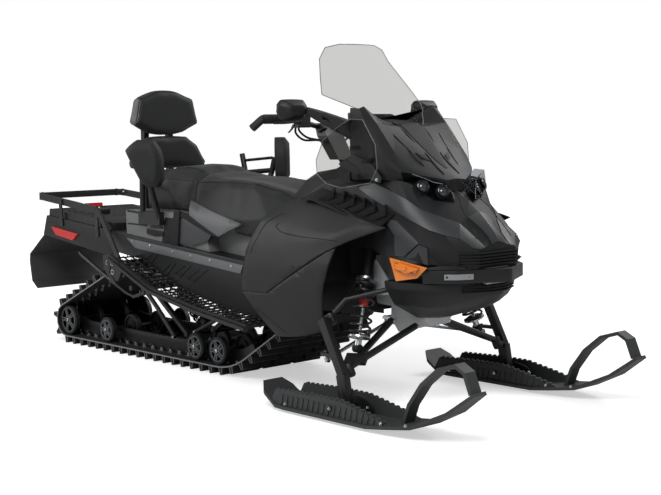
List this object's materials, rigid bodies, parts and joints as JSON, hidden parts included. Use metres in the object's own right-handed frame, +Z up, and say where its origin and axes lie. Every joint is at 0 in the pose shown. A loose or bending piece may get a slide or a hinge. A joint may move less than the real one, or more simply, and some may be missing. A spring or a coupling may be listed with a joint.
{
  "type": "snowmobile",
  "caption": "Two-seat utility snowmobile on one track and two steered skis, with windscreen, mirrors, passenger backrest, grab guards, luggage rack and snow flap.",
  "frame": {"origin": "on the floor under the middle of the overall length and width", "axes": "+X forward to the ski tips, +Y to the machine's left, +Z up"},
  "size_m": [3.3097, 1.08, 1.387],
  "materials": {
    "amber_lens": "polished",
    "bare_steel": "machined",
    "black_coated_metal": "powder coated",
    "black_plastic": "fine grain",
    "cast_aluminium": "as cast",
    "engine_metal": "as cast",
    "gloss_black_plastic": "gloss",
    "grey_plastic": "satin",
    "lamp_lens": "polished",
    "red_lens": "polished",
    "screen_clear": "polished",
    "seat_vinyl": "embossed vinyl",
    "ski_plastic": "moulded",
    "soft_rubber": "moulded",
    "track_rubber": "moulded",
    "wheel_plastic": "moulded"
  },
  "bodies": {
    "chassis": {"backrest": "seat_vinyl", "belly_pan": "black_plastic", "bulkhead": "cast_aluminium", "bumper": "black_coated_metal", "cargo_rack": "black_coated_metal", "console": "black_plastic", "control_arms": "black_coated_metal", "cowl": "gloss_black_plastic", "drive_axle": "bare_steel", "engine_block": "engine_metal", "front_shocks": "black_coated_metal", "grab_frames": "black_coated_metal", "grilles": "black_plastic", "hand_guards": "soft_rubber", "headlights": "lamp_lens", "headrest": "seat_vinyl", "hood": "gloss_black_plastic", "hood_stripes": "grey_plastic", "idler_wheels": "wheel_plastic", "mirrors": "black_plastic", "passenger_seat": "seat_vinyl", "rear_deck": "black_plastic", "rear_suspension": "black_coated_metal", "reflectors": "amber_lens", "rider_seat": "seat_vinyl", "running_boards": "black_coated_metal", "seat_base": "black_plastic", "side_panels": "black_plastic", "side_vents": "black_plastic", "slide_rails": "black_coated_metal", "snow_flap": "soft_rubber", "tail_lamps": "red_lens", "track": "track_rubber", "tunnel": "black_coated_metal", "windshield": "screen_clear"},
    "steering": {"steering_post": "black_coated_metal", "handlebar": "black_coated_metal", "grips": "soft_rubber"},
    "pitman": {"pitman_arm": "bare_steel"},
    "tie_left": {"tie_rod_left": "bare_steel"},
    "tie_right": {"tie_rod_right": "bare_steel"},
    "ski_assembly_left": {"spindle_left": "black_coated_metal", "ski_left": "ski_plastic"},
    "ski_assembly_right": {"spindle_right": "black_coated_metal", "ski_right": "ski_plastic"}
  },
  "joints": [
    {"name": "handlebar_turn", "type": "hinge", "parent": "chassis", "child": "steering", "pos_m": [0.432, 0, 1.052], "axis": [-0.5821, 0, 0.8131], "range_deg": [-35, 35]},
    {"name": "pitman_turn", "type": "hinge", "parent": "chassis", "child": "pitman", "pos_m": [0.852, 0, 0.306], "axis": [-0.4695, 0, 0.8829], "range_deg": [-28, 28]},
    {"name": "ski_turn_left", "type": "hinge", "parent": "chassis", "child": "ski_assembly_left", "pos_m": [0.99, 0.41, 0.165], "axis": [-0.4695, 0, 0.8829], "range_deg": [-28, 28]},
    {"name": "ski_turn_right", "type": "hinge", "parent": "chassis", "child": "ski_assembly_right", "pos_m": [0.99, -0.41, 0.165], "axis": [-0.4695, 0, 0.8829], "range_deg": [-28, 28]},
    {"name": "tie_turn_left", "type": "hinge", "parent": "pitman", "child": "tie_left", "pos_m": [0.775, 0.02, 0.306], "axis": [-0.4695, 0, 0.8829], "range_deg": [-28, 28]},
    {"name": "tie_turn_right", "type": "hinge", "parent": "pitman", "child": "tie_right", "pos_m": [0.775, -0.02, 0.306], "axis": [-0.4695, 0, 0.8829], "range_deg": [-28, 28]}
  ],
  "couplings": [
    {"joint": "pitman_turn", "follows": "handlebar_turn", "ratio": 0.8},
    {"joint": "ski_turn_left", "follows": "handlebar_turn", "ratio": 0.8},
    {"joint": "ski_turn_right", "follows": "handlebar_turn", "ratio": 0.8},
    {"joint": "tie_turn_left", "follows": "handlebar_turn", "ratio": -0.8},
    {"joint": "tie_turn_right", "follows": "handlebar_turn", "ratio": -0.8}
  ]
}
